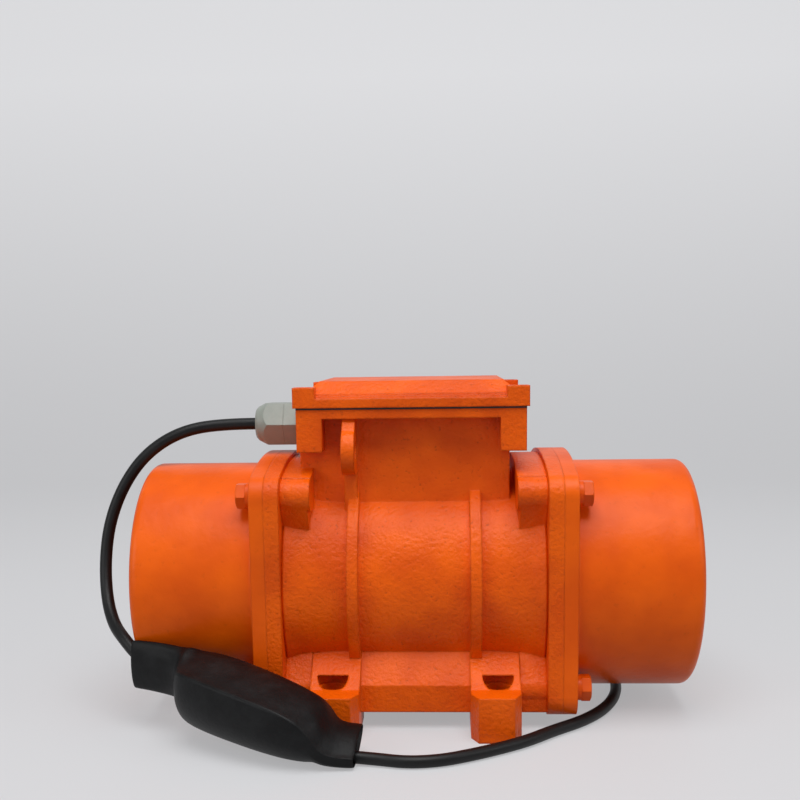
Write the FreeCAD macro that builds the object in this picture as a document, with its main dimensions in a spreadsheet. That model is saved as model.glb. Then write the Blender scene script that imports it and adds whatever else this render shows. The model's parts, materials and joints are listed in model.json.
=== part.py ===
"""A small rotary vibration motor of the unbalanced-weight kind.

The shaft runs along X, the front of the machine is -Y, and the four feet stand on z = 0.
Each end of the rotor carries a fixed and an adjustable half-moon weight under a deep round cover.
A lead leaves the terminal box through a gland, passes a run capacitor and goes on to a plug.
Every size that can be set by itself is one cell of the sheet; the rest are formulas on those cells.
"""

import FreeCAD
import Part
import Sketcher

import math
import os
import re

from FreeCAD import Placement, Rotation, Vector

SIZES = [
    # Overall
    ("axis_height", 75.0, "shaft axis above the underside of the feet"),
    ("overall_length", 312.0, "over the two weight covers"),
    ("joint_span", 143.6, "between the two end faces of the housing casting"),
    # Housing barrel
    ("barrel_r", 61.0, "outer radius of the barrel"),
    ("bore_r", 54.0, "bore of the barrel"),
    ("flare_r", 65.5, "radius of the barrel where it flares out to each end face"),
    ("flare_length", 33.0, "length of that flare"),
    ("seam", 1.0, "chamfer of the barrel's edge at the end face"),
    ("rib_x", 33.5, "middle of each ring rib from the middle of the motor"),
    ("rib_width", 6.0, "width of a ring rib"),
    ("rib_height", 5.0, "how far a ring rib stands out"),
    ("lug_r", 9.0, "radius of the round boss of a bolt lug"),
    ("lug_length", 16.0, "length of a bolt lug"),
    ("lug_root", 13.5, "half the width of the web that carries a boss"),
    ("lug_set_back", 1.5, "how much shorter that web is than its boss"),
    ("bridge_drop", 2.5, "bridge between the upper lugs, below the top of the flanges"),
    # End shields and weight covers
    ("shield_flange", 8.2, "thickness of the end shield's flange"),
    ("cover_flange", 7.7, "thickness of the weight cover's flange"),
    ("flange_half", 68.0, "half the width of both flanges"),
    ("flange_low", 68.0, "lower side of both flanges below the axis"),
    ("flange_top", 72.7, "top of both flanges above the axis"),
    ("flange_arch", 225.0, "radius of their arched top"),
    ("flange_corner", 12.0, "radius of their corners"),
    ("bolt_offset", 54.0, "cover bolts from the axis, along Y and along Z"),
    ("cover_r", 66.0, "outer radius of a weight cover"),
    ("cover_wall", 3.5, "wall of a weight cover"),
    ("cover_rim", 5.0, "rounding of a cover's closed end"),
    ("cover_blend", 1.6, "fillet between a cover and its flange"),
    ("spigot_depth", 7.0, "how far the shield's spigot enters the barrel"),
    ("spigot_wall", 7.0, "wall of that spigot"),
    ("cover_spigot", 5.0, "length of the shield's ring that centres the cover"),
    ("hub_r", 38.0, "radius of the bearing hub"),
    ("hub_end", 10.8, "how far the hub stands out past the shield's flange"),
    ("fit_gap", 0.05, "radial clearance of parts that centre or run on each other"),
    # Bearings and seals
    ("bearing_r", 31.0, "outer radius of a ball bearing"),
    ("bearing_bore_r", 12.5, "bore radius of a ball bearing"),
    ("bearing_width", 17.0, "width of a ball bearing"),
    ("bearing_inset", 5.0, "bearing's inner face from the housing's end face"),
    ("race_height", 5.0, "radial height of a bearing ring"),
    ("lip_r", 16.0, "hole in the lip that holds the bearing"),
    ("lip_width", 2.0, "width of that lip"),
    ("seal_r", 20.0, "outer radius of the shaft seal"),
    # Shaft, rotor and stator
    ("shaft_mid_r", 16.0, "radius of the shaft between the bearings"),
    ("shaft_end_gap", 5.0, "shaft's end from the inside of the cover"),
    ("core_half", 30.0, "half the length of the rotor and stator stacks"),
    ("stator_bore_r", 30.0, "bore of the stator stack"),
    ("air_gap", 0.5, "radial gap between the rotor and the stator"),
    ("end_ring", 7.0, "length of each end ring of the rotor cage"),
    ("end_ring_wall", 9.0, "radial height of an end ring"),
    ("winding_length", 20.0, "end turns past each end of the stator stack"),
    ("winding_in", 34.0, "inner radius of the end turns"),
    ("winding_out", 50.0, "outer radius of the end turns"),
    # Unbalanced weights
    ("weight_start", 21.0, "first weight from the housing's end face"),
    ("weight_r", 52.0, "radius of a half-moon weight"),
    ("weight_thick", 22.0, "thickness of one weight"),
    ("weight_gap", 1.0, "gap between the fixed and the adjustable weight"),
    ("weight_hub_r", 22.0, "radius of a weight's clamp hub"),
    ("clamp_slit", 3.0, "slit through the clamp hub"),
    ("clamp_screw_r", 3.0, "radius of the clamp screw"),
    ("clamp_screw_up", 17.0, "clamp screw above the shaft axis"),
    ("ring_r", 15.5, "outer radius of a retaining ring"),
    ("ring_thick", 1.6, "thickness of a retaining ring"),
    ("ring_depth", 1.0, "depth of its groove in the shaft"),
    # Cover bolts
    ("bolt_r", 4.0, "radius of a cover bolt"),
    ("bolt_af", 13.0, "across flats of its hexagon head"),
    ("bolt_head", 5.3, "height of its head"),
    ("bolt_grip", 12.0, "how far a cover bolt enters the lug"),
    ("washer_r", 7.0, "radius of the flat and spring washers under a bolt head"),
    ("washer_thick", 3.2, "thickness of those two washers together"),
    # Feet
    ("foot_pitch_x", 90.0, "bolt holes of the feet, spacing along the shaft"),
    ("foot_pitch_y", 125.0, "bolt holes of the feet, spacing across the shaft"),
    ("foot_span", 87.0, "middles of the feet along the shaft"),
    ("foot_hole_r", 6.5, "radius of a foot's bolt hole"),
    ("foot_width", 27.0, "width of a foot along the shaft"),
    ("foot_reach", 84.0, "outer end of a foot from the shaft axis"),
    ("foot_root", 44.0, "inner end of a foot from the shaft axis"),
    ("foot_thick", 24.5, "thickness of a foot"),
    ("foot_corner_x", 4.0, "corner chamfer of a foot along the shaft"),
    ("foot_corner_y", 8.0, "corner chamfer of a foot across the shaft"),
    ("spot_r", 8.5, "radius of the milled spot face round a bolt hole"),
    ("spot_rise", 6.0, "height of the wall that the spot face cuts"),
    ("saddle_low", 6.0, "underside of the cross member between two feet"),
    ("saddle_reach", 70.0, "outer end of the cross member from the axis"),
    ("saddle_top", 42.0, "where the cross member meets the barrel, above the base"),
    ("saddle_in", 49.0, "the same, from the axis"),
    ("web_low", 9.5, "underside of the long web between the feet"),
    ("web_out", 62.0, "outer face of that web from the axis"),
    ("web_wall", 8.0, "thickness of that web"),
    # Terminal box
    ("box_left", 63.3, "left wall of the terminal box from the middle"),
    ("box_right", 52.7, "right wall of the terminal box from the middle"),
    ("box_half", 38.0, "front and rear wall from the axis"),
    ("box_wall", 5.0, "wall of the terminal box"),
    ("box_floor", 143.0, "floor inside the terminal box above the base"),
    ("rim_top", 175.0, "top face of the terminal box above the base"),
    ("rim_thick", 5.0, "thickness of the rim plate"),
    ("rim_half", 51.5, "front and rear edge of the rim plate from the axis"),
    ("rim_right", 61.2, "right edge of the rim plate from the middle"),
    ("boss_width", 14.0, "width of a lid-screw boss"),
    ("boss_height", 18.0, "height of a boss below the rim plate"),
    ("box_round", 3.0, "rounding of the upright corners"),
    ("gasket_thick", 1.0, "lid gasket"),
    # Lid
    ("lid_overhang", 1.5, "lid past the rim plate all round"),
    ("lid_edge", 5.0, "upright edge of the lid"),
    ("lid_step", 2.0, "inset of each small step above that edge"),
    ("lid_step_rise", 1.2, "height of each small step"),
    ("lid_top", 14.0, "top of the lid above its underside"),
    ("lid_slope", 48.0, "slope of the lid's raised middle, from upright"),
    ("lid_wall", 4.0, "wall of the lid"),
    ("pad_side", 12.0, "side of the square pad at each corner"),
    ("pad_top", 11.0, "top of the corner pads above the lid's underside"),
    ("lid_screw_r", 3.0, "radius of a lid screw"),
    ("lid_screw_head_r", 4.2, "radius of its head"),
    ("lid_screw_head", 3.4, "height of its head"),
    ("lid_screw_sink_r", 4.6, "radius of the recess that takes the head"),
    ("lid_screw_sink", 3.8, "depth of that recess"),
    ("lid_screw_depth", 16.0, "how far it enters the boss"),
    ("lid_socket_r", 2.4, "circumscribed radius of its hexagon socket"),
    # Lifting eyes
    ("eye_y", 49.0, "middle of a lifting eye from the axis"),
    ("eye_height", 152.0, "middle of a lifting eye above the base"),
    ("eye_x", 35.0, "middle of a lifting eye from the middle of the motor"),
    ("eye_r", 12.5, "outer radius of a lifting eye"),
    ("eye_hole_r", 6.0, "radius of its hole"),
    ("eye_thick", 7.0, "thickness of a lifting eye"),
    # Terminals
    ("block_length", 56.0, "terminal block along X"),
    ("block_width", 30.0, "terminal block along Y"),
    ("block_height", 12.0, "terminal block"),
    ("stud_r", 2.0, "radius of a terminal stud"),
    ("stud_height", 8.0, "how far a stud stands out of the block"),
    ("stud_pitch", 16.0, "spacing of the studs"),
    # Gland
    ("gland_height", 164.5, "gland axis above the base"),
    ("gland_thread_r", 8.0, "radius of the gland's thread"),
    ("gland_af", 24.0, "across flats of the gland body and its cap"),
    ("gland_washer", 2.0, "sealing washer between the gland and the box"),
    ("gland_washer_r", 11.0, "radius of that washer"),
    ("gland_hex", 11.0, "length of the gland body's hexagon"),
    ("gland_cap", 17.0, "length of the domed cap nut"),
    ("gland_bore_r", 6.0, "bore that takes the rubber insert"),
    ("locknut", 5.0, "thickness of the locknut inside the box"),
    ("locknut_af", 20.0, "across flats of that locknut"),
    ("cable_r", 3.5, "radius of the lead from the gland to the capacitor"),
    # Capacitor on the lead
    ("capacitor_r", 15.5, "radius of the run capacitor"),
    ("capacitor_length", 58.0, "length of the run capacitor"),
    ("sleeve_r", 20.5, "radius of the shrink sleeve round it"),
    # Supply cord, its put-away coil and its plug
    ("cord_r", 3.25, "radius of the supply cord"),
    ("coil_x", 92.0, "middle of the put-away coil along X"),
    ("coil_y", 142.0, "middle of the put-away coil along Y"),
    ("coil_mean_r", 36.0, "radius of the coil at the middle of its turns"),
    ("coil_turns_wide", 3.0, "turns side by side in the coil"),
    ("coil_turns_high", 2.0, "layers of turns in the coil"),
    ("tie_thick", 1.3, "band that ties the coil"),
    ("tie_width", 12.0, "width of that band"),
    ("plug_length", 36.0, "moulded plug"),
    ("plug_width", 26.0, "moulded plug, across its two pins"),
    ("plug_height", 15.0, "thickness of the moulded plug"),
    ("pin_r", 2.4, "radius of a plug pin"),
    ("pin_length", 19.0, "length of a plug pin"),
    ("pin_pitch", 19.0, "spacing of the plug pins"),
]

# The lead hangs from the gland in one stiff bow to the sleeve's upright end.
LEAD_ROUTE = [
    (-93.3, 0, 164.5), (-116, 0, 164.5), (-139, -4, 160.5), (-158, -9, 148.5), (-171, -13.5, 130.5),
    (-179, -18, 109), (-181, -23.5, 87), (-178, -33, 67), (-170.5, -46, 51), (-156, -62, 39),
]
# The supply cord lies on the floor: round the right front foot, under the right cover, to the coil.
CORD_ROUTE = [
    (-33, -112, 4), (-19, -113, 3.25), (-3, -117.5, 3.25), (14, -115, 3.25), (30, -107, 3.25),
    (44, -98.5, 3.25), (59, -88, 3.25), (74.5, -72.5, 3.25), (92, -58, 3.25), (107, -38, 3.25),
    (117, -13, 3.25), (121, 14, 3.25), (124.5, 41, 3.25), (130, 68, 3.25), (134, 93, 3.25),
    (134.5, 117, 4), (134.5, 142, 4.55),
]
# The tail leaves the outside of the coil's upper layer and comes down to the plug.
TAIL_ROUTE = [
    (49.5, 150, 11), (49.5, 136, 10.5), (44, 123, 9.5), (34, 112.5, 8.3), (21, 107, 7.5), (7, 107, 7.5),
]
PLUG_PLACE = Placement(Vector(7, 107, 0), Rotation(Vector(0, 0, 1), 180))

doc = FreeCAD.newDocument("VibrationMotor")
sizes = doc.addObject("Spreadsheet::Sheet", "Sizes")
for row, (alias, number, meaning) in enumerate(SIZES, 1):
    sizes.set(f"A{row}", alias)
    sizes.set(f"B{row}", str(number))
    sizes.set(f"C{row}", meaning)
    sizes.setAlias(f"B{row}", alias)
doc.recompute()

ALIASES = {alias for alias, number, meaning in SIZES}
SIDES = (("left", -1), ("right", 1))
ALONG_X = Rotation(Vector(0, 1, 0), 90)
NODES = []


# ---- Formulas ----


def formula(text):
    """A formula on the sheet's cells, as an expression of the document."""
    return re.sub(r"[a-z_]\w*", lambda m: f"Sizes.{m[0]}" if m[0] in ALIASES else m[0], str(text))


def value(text):
    """What a formula comes to, in millimetres."""
    return float(sizes.evalExpression(formula(text)))


JOINT = "joint_span / 2"
SHIELD_END = f"({JOINT} + shield_flange)"
COVER_END = f"({SHIELD_END} + cover_flange)"
BOX_SPAN = "(box_left + rim_right)"
RIM_MIDDLE = "((rim_right - box_left) / 2)"
LID_LOW = "(rim_top + gasket_thick)"
FIXED_IN = f"({JOINT} + weight_start)"
FREE_IN = f"({FIXED_IN} + weight_thick + weight_gap)"
RING_IN = f"({FREE_IN} + weight_thick + weight_gap / 2)"
HALF_LENGTH = "(overall_length / 2)"
SHAFT_END = f"({HALF_LENGTH} - cover_wall - shaft_end_gap)"


# ---- Building blocks ----


def keep(shape_object, label):
    """Marks a finished sub-part, whose label names its file."""
    shape_object.Label = label
    NODES.append(shape_object)
    return shape_object


def place(shape_object, x="0", y="0", z="0", turn=Rotation()):
    """Puts an object at a point given by three formulas."""
    shape_object.Placement = Placement(Vector(value(x), value(y), value(z)), turn)
    for axis, text in (("x", x), ("y", y), ("z", z)):
        shape_object.setExpression(f"Placement.Base.{axis}", formula(text))
    return shape_object


def primitive(kind, name, **bound):
    """A Part primitive with its properties bound to formulas."""
    made = doc.addObject(f"Part::{kind}", name)
    for key, text in bound.items():
        made.setExpression(key, formula(text))
    return made


def rod(name, start, radius, length, y="0", z="axis_height"):
    """A round bar along +X, from x = start."""
    bar = primitive("Cylinder", name, Radius=radius, Height=length)
    return place(bar, start, y, z, ALONG_X)


def cut(name, base, tool):
    made = doc.addObject("Part::Cut", name)
    made.Base, made.Tool = base, tool
    return made


def fuse(name, *shapes):
    made = doc.addObject("Part::MultiFuse", name)
    made.Shapes = list(shapes)
    return made


def common(name, *shapes):
    made = doc.addObject("Part::MultiCommon", name)
    made.Shapes = list(shapes)
    return made


def group(name, *shapes):
    made = doc.addObject("Part::Compound", name)
    made.Links = list(shapes)
    return made


def new_body(name):
    return doc.addObject("PartDesign::Body", name)


def sketch_on(body, plane, name, right="0", up="0", out="0"):
    """A sketch on one of the body's origin planes, shifted by formulas in the sketch's own axes."""
    sketch = body.newObject("Sketcher::SketchObject", name)
    plane_object = next(f for f in body.Origin.OriginFeatures if f.Role == plane)
    sketch.AttachmentSupport = (plane_object, "")
    sketch.MapMode = "FlatFace"
    for axis, text in (("x", right), ("y", up), ("z", out)):
        sketch.setExpression(f"AttachmentOffset.Base.{axis}", formula(text))
    return sketch


def pin(sketch, shape, point, x, y):
    """Ties a point of a sketch to two formulas, or to an axis where the formula is 0."""
    for kind, axis, text in (("DistanceX", -2, x), ("DistanceY", -1, y)):
        if str(text) == "0":
            sketch.addConstraint(Sketcher.Constraint("PointOnObject", shape, point, axis))
            continue
        row = sketch.addConstraint(Sketcher.Constraint(kind, -1, 1, shape, point, value(text)))
        sketch.setExpression(f"Constraints[{row}]", formula(text))


def outline(sketch, points):
    """A closed outline of straight sides through points given as formulas."""
    corners = [Vector(value(x), value(y), 0) for x, y in points]
    first = sketch.GeometryCount
    count = len(corners)
    for i in range(count):
        sketch.addGeometry(Part.LineSegment(corners[i], corners[(i + 1) % count]))
    for i in range(count):
        following = first + (i + 1) % count
        sketch.addConstraint(Sketcher.Constraint("Coincident", first + i, 2, following, 1))
    for i, (x, y) in enumerate(points):
        pin(sketch, first + i, 1, x, y)


def rectangle(sketch, x0, x1, y0, y1):
    outline(sketch, [(x0, y0), (x1, y0), (x1, y1), (x0, y1)])


def arched(sketch, half, low, top, radius):
    """A closed outline with upright sides, a level lower side and an arched top, even about Y = 0."""
    across, rise, middle = value(half), value(radius), value(f"{top} - ({radius})")
    shoulder = middle + math.sqrt(rise ** 2 - across ** 2)
    corners = [Vector(x, y, 0) for x, y in (
        (-across, shoulder), (-across, value(low)), (across, value(low)), (across, shoulder),
    )]
    for start, end in zip(corners, corners[1:]):
        sketch.addGeometry(Part.LineSegment(start, end))
    sketch.addGeometry(Part.Arc(corners[3], Vector(0, middle + rise, 0), corners[0]))
    for first, end, second, start in ((0, 2, 1, 1), (1, 2, 2, 1), (2, 2, 3, 1), (3, 2, 0, 1)):
        sketch.addConstraint(Sketcher.Constraint("Coincident", first, end, second, start))
    sketch.addConstraint(Sketcher.Constraint("Vertical", 0))
    sketch.addConstraint(Sketcher.Constraint("Vertical", 2))
    pin(sketch, 1, 1, f"-({half})", low)
    pin(sketch, 1, 2, half, low)
    pin(sketch, 3, 3, "0", f"{top} - ({radius})")
    bound = sketch.addConstraint(Sketcher.Constraint("Radius", 3, rise))
    sketch.setExpression(f"Constraints[{bound}]", formula(radius))


def circle(sketch, x, y, radius):
    centre = Vector(value(x), value(y), 0)
    row = sketch.addGeometry(Part.Circle(centre, Vector(0, 0, 1), value(radius)))
    pin(sketch, row, 3, x, y)
    bound = sketch.addConstraint(Sketcher.Constraint("Radius", row, value(radius)))
    sketch.setExpression(f"Constraints[{bound}]", formula(radius))


def pad(body, sketch, length, taper="0"):
    """Thickens a sketch along its own normal."""
    feature = body.newObject("PartDesign::Pad", sketch.Name + "_pad")
    feature.Profile = sketch
    feature.setExpression("Length", formula(length))
    if taper != "0":
        feature.setExpression("TaperAngle", formula(taper))
    return feature


def pocket(body, sketch, length, along=True):
    """Cuts a sketch along its own normal, or against it, and makes sure that it cut."""
    doc.recompute()
    before = body.Shape.Volume
    feature = body.newObject("PartDesign::Pocket", sketch.Name + "_cut")
    feature.Profile = sketch
    feature.Reversed = along
    feature.setExpression("Length", formula(length))
    doc.recompute()
    if not body.Shape.Volume < before:
        raise ValueError(f"{feature.Name} cut nothing")
    return feature


def revolve(body, sketch):
    """Turns a sketch about its own horizontal axis."""
    feature = body.newObject("PartDesign::Revolution", sketch.Name + "_turn")
    feature.Profile = sketch
    feature.ReferenceAxis = (sketch, ["H_Axis"])
    feature.Angle = 360
    return feature


def groove(body, sketch):
    """Cuts a sketch turned about its own horizontal axis, and makes sure that it cut."""
    doc.recompute()
    before = body.Shape.Volume
    feature = body.newObject("PartDesign::Groove", sketch.Name + "_cut")
    feature.Profile = sketch
    feature.ReferenceAxis = (sketch, ["H_Axis"])
    feature.Angle = 360
    doc.recompute()
    if not body.Shape.Volume < before:
        raise ValueError(f"{feature.Name} cut nothing")
    return feature


def profile(body, name, points, height="axis_height"):
    """A sketch in the plane of the shaft, of points (x, radius)."""
    sketch = sketch_on(body, "XZ_Plane", name, up=height)
    outline(sketch, points)
    return sketch


def turned(name, points, height="axis_height"):
    """A body turned about a line along X, from points (x, radius)."""
    body = new_body(name)
    revolve(body, profile(body, name + "_profile", points, height))
    return body


def edges_where(shape, test):
    """The names of the edges that a test picks."""
    return [f"Edge{i}" for i, edge in enumerate(shape.Edges, 1) if test(edge)]


def soften(body, kind, radius, test):
    """Fillets or chamfers the edges of the body so far that a test picks."""
    doc.recompute()
    tip = body.Tip
    names = edges_where(tip.Shape, test)
    if not names:
        raise ValueError(f"{body.Name}: no edge to round")
    feature = body.newObject(f"PartDesign::{kind}", f"{tip.Name}_{kind.lower()}")
    feature.Base = (tip, names)
    feature.setExpression("Radius" if kind == "Fillet" else "Size", formula(radius))
    doc.recompute()
    return feature


def straight_along(edge, direction):
    """True for a straight edge that runs along a direction."""
    if edge.Curve.TypeId != "Part::GeomLine":
        return False
    return abs(edge.Curve.Direction.dot(direction)) > 0.999


def round_at(edge, x, radius):
    """True for a circular edge about an X axis, of a radius, in the plane at x."""
    if edge.Curve.TypeId != "Part::GeomCircle":
        return False
    return abs(edge.Curve.Radius - radius) < 0.01 and abs(edge.Curve.Center.x - x) < 0.01


def flange_plate(body, name, side, start, thickness):
    """A flange with an arched top and rounded corners, from x = side * start outwards."""
    low = f"{start}" if side > 0 else f"-({start} + {thickness})"
    sketch = sketch_on(body, "YZ_Plane", name, up="axis_height", out=low)
    arched(sketch, "flange_half", "-flange_low", "flange_top", "flange_arch")
    pad(body, sketch, thickness)
    soften(body, "Fillet", "flange_corner", lambda e: straight_along(e, Vector(1, 0, 0)))


def four_bolts():
    """The four bolt places about the axis, as formulas."""
    return [(f"{sy} * bolt_offset", f"{sz} * bolt_offset") for sy in (-1, 1) for sz in (-1, 1)]


def hex_bar(name, start, flats, length, y="0", z="axis_height", turn=0):
    """A hexagon bar along +X."""
    bar = doc.addObject("Part::Prism", name)
    bar.Polygon = 6
    bar.setExpression("Circumradius", formula(f"({flats}) / sqrt(3)"))
    bar.setExpression("Height", formula(length))
    return place(bar, start, y, z, Rotation(Vector(1, 0, 0), turn) * ALONG_X)


# ---- Housing casting ----

# The flare of the barrel: shares of its length and of its rise.
FLARE = ((0, 0), (0.25, 0.06), (0.5, 0.25), (0.75, 0.56))


def make_barrel(body):
    """The round barrel with its ring ribs, flaring out to both end faces, solid until the bore is cut."""
    half = [("0", "barrel_r")]
    half.append(("rib_x - rib_width / 2", "barrel_r"))
    half.append(("rib_x - rib_width / 2", "barrel_r + rib_height"))
    half.append(("rib_x + rib_width / 2", "barrel_r + rib_height"))
    half.append(("rib_x + rib_width / 2", "barrel_r"))
    for along, out in FLARE:
        half.append((f"{JOINT} - flare_length * {1 - along}", f"barrel_r + (flare_r - barrel_r) * {out}"))
    half.append((f"{JOINT} - seam", "flare_r"))
    half.append((JOINT, "flare_r - seam"))
    half.append((JOINT, "0"))
    mirrored = [(f"-({x})", r) for x, r in reversed(half[1:])]
    revolve(body, profile(body, "barrel", half[1:] + mirrored))


def make_lugs(body, name, side):
    """Four bolt lugs at one end, a round boss on a web each, and the bridge between the upper two."""
    start = f"{JOINT} - lug_length" if side > 0 else f"-{JOINT}"
    web_start = f"{JOINT} - lug_length + lug_set_back" if side > 0 else f"-{JOINT}"
    webs = sketch_on(body, "YZ_Plane", f"{name}_lug_webs", up="axis_height", out=web_start)
    rounds = sketch_on(body, "YZ_Plane", f"{name}_lug_rounds", up="axis_height", out=start)
    reach, spread = "(lug_r / sqrt(2))", "(lug_root / sqrt(2))"
    root = "((bore_r + barrel_r) / 2 / sqrt(2))"
    for sy in (-1, 1):
        for sz in (-1, 1):
            corners = [
                (f"{sy} * ({root} - {spread})", f"{sz} * ({root} + {spread})"),
                (f"{sy} * ({root} + {spread})", f"{sz} * ({root} - {spread})"),
                (f"{sy} * (bolt_offset + {reach})", f"{sz} * (bolt_offset - {reach})"),
                (f"{sy} * (bolt_offset - {reach})", f"{sz} * (bolt_offset + {reach})"),
            ]
            outline(webs, corners)
            circle(rounds, f"{sy} * bolt_offset", f"{sz} * bolt_offset", "lug_r")
    pad(body, webs, "lug_length - lug_set_back")
    pad(body, rounds, "lug_length")
    bridge = sketch_on(body, "YZ_Plane", f"{name}_bridge", up="axis_height", out=start)
    arched(bridge, "bolt_offset", "bolt_offset - lug_r", "flange_top - bridge_drop", "flange_arch")
    pad(body, bridge, "lug_length")


def make_feet(body):
    """Four feet with chamfered outer corners, the cross members and the long webs that carry them."""
    feet = sketch_on(body, "XY_Plane", "feet")
    for sx in (-1, 1):
        for sy in (-1, 1):
            near, far = "(foot_span - foot_width) / 2", "(foot_span + foot_width) / 2"
            points = [
                (near, "foot_root"),
                (near, "foot_reach - foot_corner_y"),
                (f"{near} + foot_corner_x", "foot_reach"),
                (f"{far} - foot_corner_x", "foot_reach"),
                (far, "foot_reach - foot_corner_y"),
                (far, "foot_root"),
            ]
            outline(feet, [(f"{sx} * ({x})", f"{sy} * ({y})") for x, y in points])
    pad(body, feet, "foot_thick")

    for name, side in SIDES:
        start = f"{side} * foot_span / 2 - foot_width / 2"
        saddle = sketch_on(body, "YZ_Plane", f"{name}_saddle", out=start)
        half = [
            ("saddle_reach", "saddle_low"),
            ("saddle_reach", "foot_thick"),
            ("saddle_in", "saddle_top"),
        ]
        outline(saddle, half + [(f"-{y}", z) for y, z in reversed(half)])
        pad(body, saddle, "foot_width")

    webs = sketch_on(body, "YZ_Plane", "webs", out=f"-{JOINT}")
    for sy in (-1, 1):
        points = [
            ("web_out", "web_low"),
            ("web_out", "foot_thick"),
            ("saddle_in", "saddle_top"),
            ("saddle_in - web_wall", "saddle_top - web_wall"),
            ("web_out - web_wall", "web_low + web_wall / 2"),
            ("web_out - web_wall", "web_low"),
        ]
        outline(webs, [(f"{sy} * ({y})", z) for y, z in points])
    pad(body, webs, "joint_span")


def make_terminal_box(body):
    """The box on top of the barrel, its rim plate and the bosses that take the lid screws."""
    walls = sketch_on(body, "XY_Plane", "box_walls", out="axis_height")
    rectangle(walls, "-box_left", "box_right", "-box_half", "box_half")
    pad(body, walls, "rim_top - axis_height")
    rim = sketch_on(body, "XY_Plane", "rim_plate", out="rim_top - rim_thick")
    rectangle(rim, "-box_left", "rim_right", "-rim_half", "rim_half")
    pad(body, rim, "rim_thick")
    bosses = sketch_on(body, "XY_Plane", "lid_bosses", out="rim_top - rim_thick - boss_height")
    for x0, x1 in (("-box_left", "boss_width - box_left"), ("rim_right - boss_width", "rim_right")):
        for sy in (-1, 1):
            near = "box_half - box_wall" if sy > 0 else "-rim_half"
            far = "rim_half" if sy > 0 else "box_wall - box_half"
            rectangle(bosses, x0, x1, near, far)
    pad(body, bosses, "boss_height")


def make_lifting_eyes(body):
    """A flat eye on a ring rib under the rim, front left and rear right."""
    for name, side in SIDES:
        plane = f"{side} * eye_x - eye_thick / 2"
        cheek = sketch_on(body, "YZ_Plane", f"{name}_eye_cheek", out=plane)
        points = [
            ("box_half - box_wall", "rim_top - rim_thick"),
            ("eye_y", "rim_top - rim_thick"),
            ("eye_y + eye_r", "eye_height"),
            ("eye_y", "eye_height - eye_r"),
            ("eye_y - eye_r / 2", "eye_height - eye_r"),
            ("eye_y - eye_r / 2", "axis_height + eye_y - eye_r"),
            ("box_half - box_wall", "axis_height + eye_y - eye_r"),
        ]
        outline(cheek, [(f"{side} * ({y})", z) for y, z in points])
        pad(body, cheek, "eye_thick")
        ring = sketch_on(body, "YZ_Plane", f"{name}_eye_ring", out=plane)
        circle(ring, f"{side} * eye_y", "eye_height", "eye_r")
        pad(body, ring, "eye_thick")


def cut_housing(body):
    """The bore, the box's cavity and every bolt, gland and lifting hole."""
    bore = sketch_on(body, "YZ_Plane", "bore", up="axis_height", out=f"-{JOINT}")
    circle(bore, "0", "0", "bore_r")
    pocket(body, bore, "joint_span")

    cavity = sketch_on(body, "XY_Plane", "box_cavity", out="box_floor")
    inner = "box_half - box_wall"
    rectangle(cavity, "box_wall - box_left", "box_right - box_wall", f"-({inner})", inner)
    pocket(body, cavity, "rim_top - box_floor")

    wire_way = sketch_on(body, "XY_Plane", "wire_way", out="axis_height")
    circle(wire_way, "box_right - box_wall - gland_thread_r", "0", "gland_bore_r")
    pocket(body, wire_way, "box_floor - axis_height")

    gland_hole = sketch_on(body, "YZ_Plane", "gland_hole", up="gland_height", out="-box_left")
    circle(gland_hole, "0", "0", "gland_thread_r + fit_gap")
    pocket(body, gland_hole, "box_wall")

    for name, side in SIDES:
        start = f"{JOINT} - bolt_grip" if side > 0 else f"-{JOINT}"
        taps = sketch_on(body, "YZ_Plane", f"{name}_bolt_taps", up="axis_height", out=start)
        for y, z in four_bolts():
            circle(taps, y, z, "bolt_r + fit_gap")
        pocket(body, taps, "bolt_grip")
        eye = sketch_on(body, "YZ_Plane", f"{name}_eye_hole", out=f"{side} * eye_x - eye_thick / 2")
        circle(eye, f"{side} * eye_y", "eye_height", "eye_hole_r")
        pocket(body, eye, "eye_thick")

    spots = sketch_on(body, "XY_Plane", "spot_faces", out="foot_thick")
    holes = sketch_on(body, "XY_Plane", "foot_holes")
    screws = sketch_on(body, "XY_Plane", "lid_taps", out="rim_top - lid_screw_depth")
    for sx in (-1, 1):
        for sy in (-1, 1):
            circle(spots, f"{sx} * foot_pitch_x / 2", f"{sy} * foot_pitch_y / 2", "spot_r")
            circle(holes, f"{sx} * foot_pitch_x / 2", f"{sy} * foot_pitch_y / 2", "foot_hole_r")
    for x, y in lid_screw_places():
        circle(screws, x, y, "lid_screw_r + fit_gap")
    pocket(body, spots, "spot_rise")
    pocket(body, holes, "foot_thick")
    pocket(body, screws, "lid_screw_depth")


def lid_screw_places():
    """The four lid screws, in the middle of the corner pads."""
    x = f"({BOX_SPAN} / 2 + lid_overhang - pad_side / 2)"
    y = "(rim_half + lid_overhang - pad_side / 2)"
    return [(f"{RIM_MIDDLE} + {sx} * {x}", f"{sy} * {y}") for sx in (-1, 1) for sy in (-1, 1)]


def make_housing():
    body = new_body("motor_housing")
    make_barrel(body)
    for name, side in SIDES:
        make_lugs(body, name, side)
    make_feet(body)
    make_terminal_box(body)
    make_lifting_eyes(body)
    cut_housing(body)
    keep(body, "motor_housing")


# ---- End shields and weight covers ----


def span(side, low, high):
    """The lower and upper x of a piece that lies between two distances from the middle."""
    return (low, high) if side > 0 else (f"-({high})", f"-({low})")


def mirror_points(side, points):
    """Points (x, radius) for the right side, turned over for the left one."""
    return points if side > 0 else [(f"-({x})", r) for x, r in reversed(points)]


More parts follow.
